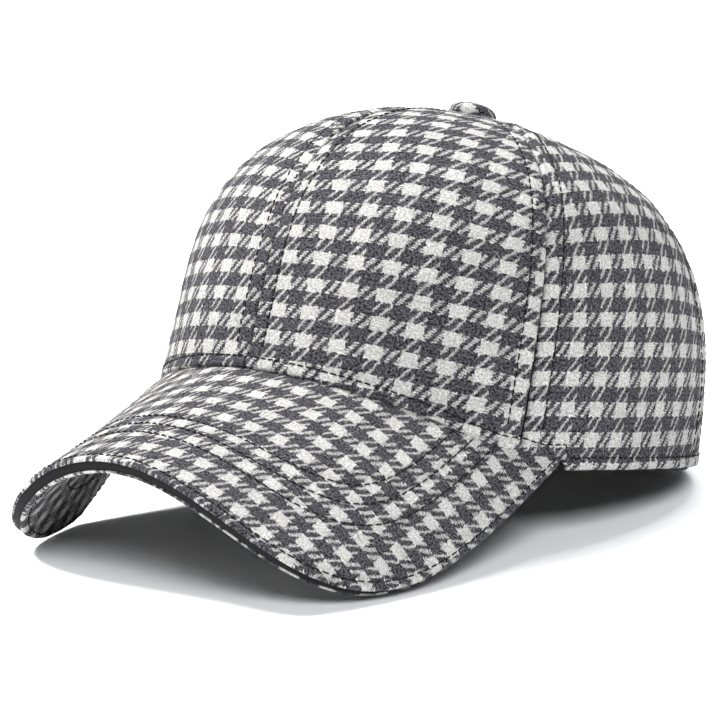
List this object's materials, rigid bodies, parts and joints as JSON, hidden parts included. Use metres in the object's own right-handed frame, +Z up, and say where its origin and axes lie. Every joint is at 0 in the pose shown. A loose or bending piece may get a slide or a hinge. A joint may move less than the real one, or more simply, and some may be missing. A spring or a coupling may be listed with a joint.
{
  "type": "houndstooth cap",
  "caption": "Six-panel cap in a woven houndstooth cloth, with a covered button on top, a curved two-sided brim with a plain dark edge tape, and a dark sweatband inside.",
  "frame": {"origin": "On the floor under the middle of the cap's bounding box, which the back hem and both sides of the brim rest on.", "axes": "+Z up; -Y is the way the brim points; +X is the wearer's left."},
  "size_m": [0.1857, 0.2549, 0.1369],
  "materials": {
    "wool": "woollen houndstooth, off-white and charcoal, softly napped",
    "dark_twill": "dark cotton twill, matt"
  },
  "bodies": {
    "root": {"panel_front_left": "wool", "panel_front_right": "wool", "panel_side_left": "wool", "panel_side_right": "wool", "panel_back_left": "wool", "panel_back_right": "wool", "button": "wool", "brim_top": "wool", "brim_under": "wool", "brim_tape": "dark_twill", "sweatband": "dark_twill"}
  },
  "joints": []
}
